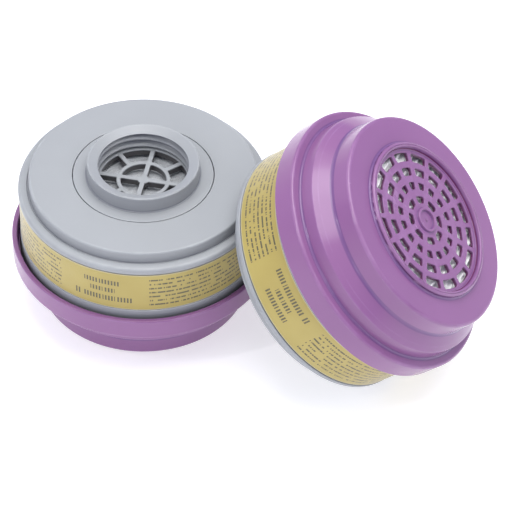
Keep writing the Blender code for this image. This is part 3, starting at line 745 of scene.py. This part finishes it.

# each crease colour paints shade with some dirt into inner corners; each depth colour paints shade on the
# walls of openings
GREY = plastic(
    "grey_satin_plastic", colour=(0.300, 0.310, 0.322), roughness=0.34, worn=(0.50, 0.52, 0.54),
    crease_shade_and_dirt=(0.13, 0.135, 0.16), slot_wall_shade=(0.055, 0.05, 0.05), grain=1.0)
PURPLE = plastic(
    "purple_gloss_plastic", colour=(0.240, 0.103, 0.245), roughness=0.20, worn=(0.40, 0.24, 0.44),
    crease_shade_and_dirt=(0.085, 0.045, 0.17), slot_wall_shade=(0.125, 0.028, 0.09), grain=0.6)
SHEET, FELT, RESIN = filter_sheet(), fibre_felt(), potting()
RUBBER, CARBON = gasket_rubber(), carbon_granules()

# ---- pieces: name, builder, material, body, slot, fill of a pad ----
PIECES = (
    ("filter_housing", filter_housing, PURPLE, "filter", "purple_plastic", 0.0),
    ("pleated_media", pleated_media, SHEET, "filter", "filter_media", 0.0),
    ("media_frame", media_frame, RESIN, "filter", "potting", 0.0),
    ("filter_back_grid", filter_back_grid, PURPLE, "filter", "purple_plastic", 0.0),
    ("filter_gasket", filter_gasket, RUBBER, "filter", "gasket_rubber", 0.0),
    ("canister_shell", canister_shell, GREY, "canister", "grey_plastic", 0.0),
    ("canister_label", canister_label, printed_label(), "canister", "label", 0.0),
    ("inlet_dust_pad", inlet_dust_pad, FELT, "canister", "fibre_pad", 0.6),
    ("sorbent_bed", sorbent_bed, CARBON, "canister", "sorbent", 0.0),
    ("outlet_fines_pad", outlet_fines_pad, FELT, "canister", "fibre_pad", 0.6),
    ("mask_side_cover", mask_side_cover, GREY, "canister", "grey_plastic", 0.0),
    ("threaded_neck", threaded_neck, GREY, "canister", "grey_plastic", 0.0))

for name, build, look, part, slot, fill in PIECES:
    model = build(name, look)
    for side in ("left", "right"):
        mesh = model.copy()
        turn = LABEL_TURN[side] if name == "canister_label" else 0.0
        mesh.transform(PLACES[side] @ Matrix.Rotation(math.radians(turn), 4, "Z"))
        piece = bpy.data.objects.new(side + "_" + name + "_look", mesh)
        bpy.context.scene.collection.objects.link(piece)
        if not fill:
            normals = piece.modifiers.new("normals", "WEIGHTED_NORMAL")
            normals.keep_sharp = True
        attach(piece, side + "_" + part)
        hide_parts(side + "_" + name)

# ---- floor ----
REACH = 4.0               # metres from the middle to the floor's sides
FLOOR_GAP = 0.0001        # metres between the floor and the lowest point

floor_look = Look("pale_floor", Roughness=0.75, Emission_Color=(1, 1, 1, 1), Emission_Strength=0.55)
floor_look.place = floor_look.add("ShaderNodeTexCoord", {}).outputs["Object"]
floor_cloud = floor_look.span(floor_look.noise(9, 2), 0.3, 0.7)
floor_look.join(Base_Color=floor_look.mix(floor_cloud, (0.68, 0.68, 0.69, 1), (0.70, 0.70, 0.71, 1)))
floor_mesh = bpy.data.meshes.new("floor")
floor_mesh.from_pydata([(-REACH, -REACH, 0), (REACH, -REACH, 0), (REACH, REACH, 0), (-REACH, REACH, 0)], [],
                       [(0, 1, 2, 3)])
floor_mesh.materials.append(floor_look.material)
floor = bpy.data.objects.new("floor", floor_mesh)
floor.location.z = cad_box[0].z - FLOOR_GAP
bpy.context.scene.collection.objects.link(floor)

# ---- sky: pale at the horizon, blue over it, grey overhead ----
HORIZON, LOW_SKY, HIGH_SKY = (1.1, 1.1, 1.15, 1), (0.13, 0.15, 0.46, 1), (0.62, 0.65, 0.70, 1)

world = bpy.data.worlds.new("studio")
world.use_nodes = True
sky = world.node_tree
height = sky.nodes.new("ShaderNodeSeparateXYZ")
sky.links.new(sky.nodes.new("ShaderNodeTexCoord").outputs["Generated"], height.inputs[0])
ramp = sky.nodes.new("ShaderNodeValToRGB")
for stop, position, colour in zip(ramp.color_ramp.elements, (0.05, 0.75), (LOW_SKY, HIGH_SKY)):
    stop.position, stop.color = position, colour
sky.links.new(height.outputs["Z"], ramp.inputs[0])
haze = sky.nodes.new("ShaderNodeMapRange")
haze.inputs["From Min"].default_value, haze.inputs["From Max"].default_value = 0.06, 0.14
sky.links.new(height.outputs["Z"], haze.inputs["Value"])
blend = sky.nodes.new("ShaderNodeMix")
blend.data_type = "RGBA"
blend.inputs[6].default_value = HORIZON
sky.links.new(haze.outputs["Result"], blend.inputs[0])
sky.links.new(ramp.outputs["Color"], blend.inputs[7])
sky.links.new(blend.outputs[2], sky.nodes["Background"].inputs["Color"])
bpy.context.scene.world = world
bpy.context.scene.view_settings.view_transform = "Standard"

# ---- lights ----
AIM = Vector((0, 0, 0.04))


def softbox(name, place, width, height, power):
    """Area light that faces the middle of the pair."""
    light = bpy.data.lights.new(name, "AREA")
    light.shape = "RECTANGLE"
    light.size, light.size_y = width, height
    light.energy = power
    lamp = bpy.data.objects.new(name, light)
    lamp.location = place
    lamp.rotation_mode = "QUATERNION"
    lamp.rotation_quaternion = (Vector(place) - AIM).to_track_quat("Z", "Y")
    bpy.context.scene.collection.objects.link(lamp)


softbox("key", (0.14, 0.10, 1.25), 1.05, 1.05, 14.2)
softbox("top", (-0.25, 0.50, 1.15), 0.9, 0.9, 2.6)
softbox("left", (-1.15, 0.60, 0.60), 1.0, 0.6, 1.0)
softbox("side", (-0.84, -0.42, 0.86), 0.04, 0.30, 2.4)
softbox("front", (-0.45, -1.20, 0.50), 0.5, 0.4, 2.2)
softbox("fill", (1.1, -0.3, 0.9), 0.5, 0.5, 3.0)

# ---- camera ----
ELEVATION, ROLL = math.radians(44.70), math.radians(2.36)
SENSOR, LENS = 36.0, 151.79
ACROSS, ALOFT = 46.13, 10.44      # millimetres from the standing cartridge's front face to the view's middle
DISTANCE = 900.0          # millimetres from the camera to the view's middle

ahead = Vector((0, math.cos(ELEVATION), -math.sin(ELEVATION)))
right, up = Vector((1, 0, 0)), Vector((0, math.sin(ELEVATION), math.cos(ELEVATION)))
camera_data = bpy.data.cameras.new("camera")
camera_data.sensor_width, camera_data.lens = SENSOR, LENS
camera = bpy.data.objects.new("camera", camera_data)
turned_right = right * math.cos(ROLL) + up * math.sin(ROLL)
turned_up = up * math.cos(ROLL) - right * math.sin(ROLL)
pose = Matrix((turned_right, turned_up, -ahead)).transposed().to_4x4()
face = Vector((0, 0, FACE_Z))
pose.translation = PLACES["left"].translation + (right * ACROSS + up * ALOFT - ahead * DISTANCE + face) * MM
camera.matrix_world = pose
bpy.context.scene.collection.objects.link(camera)
bpy.context.scene.camera = camera
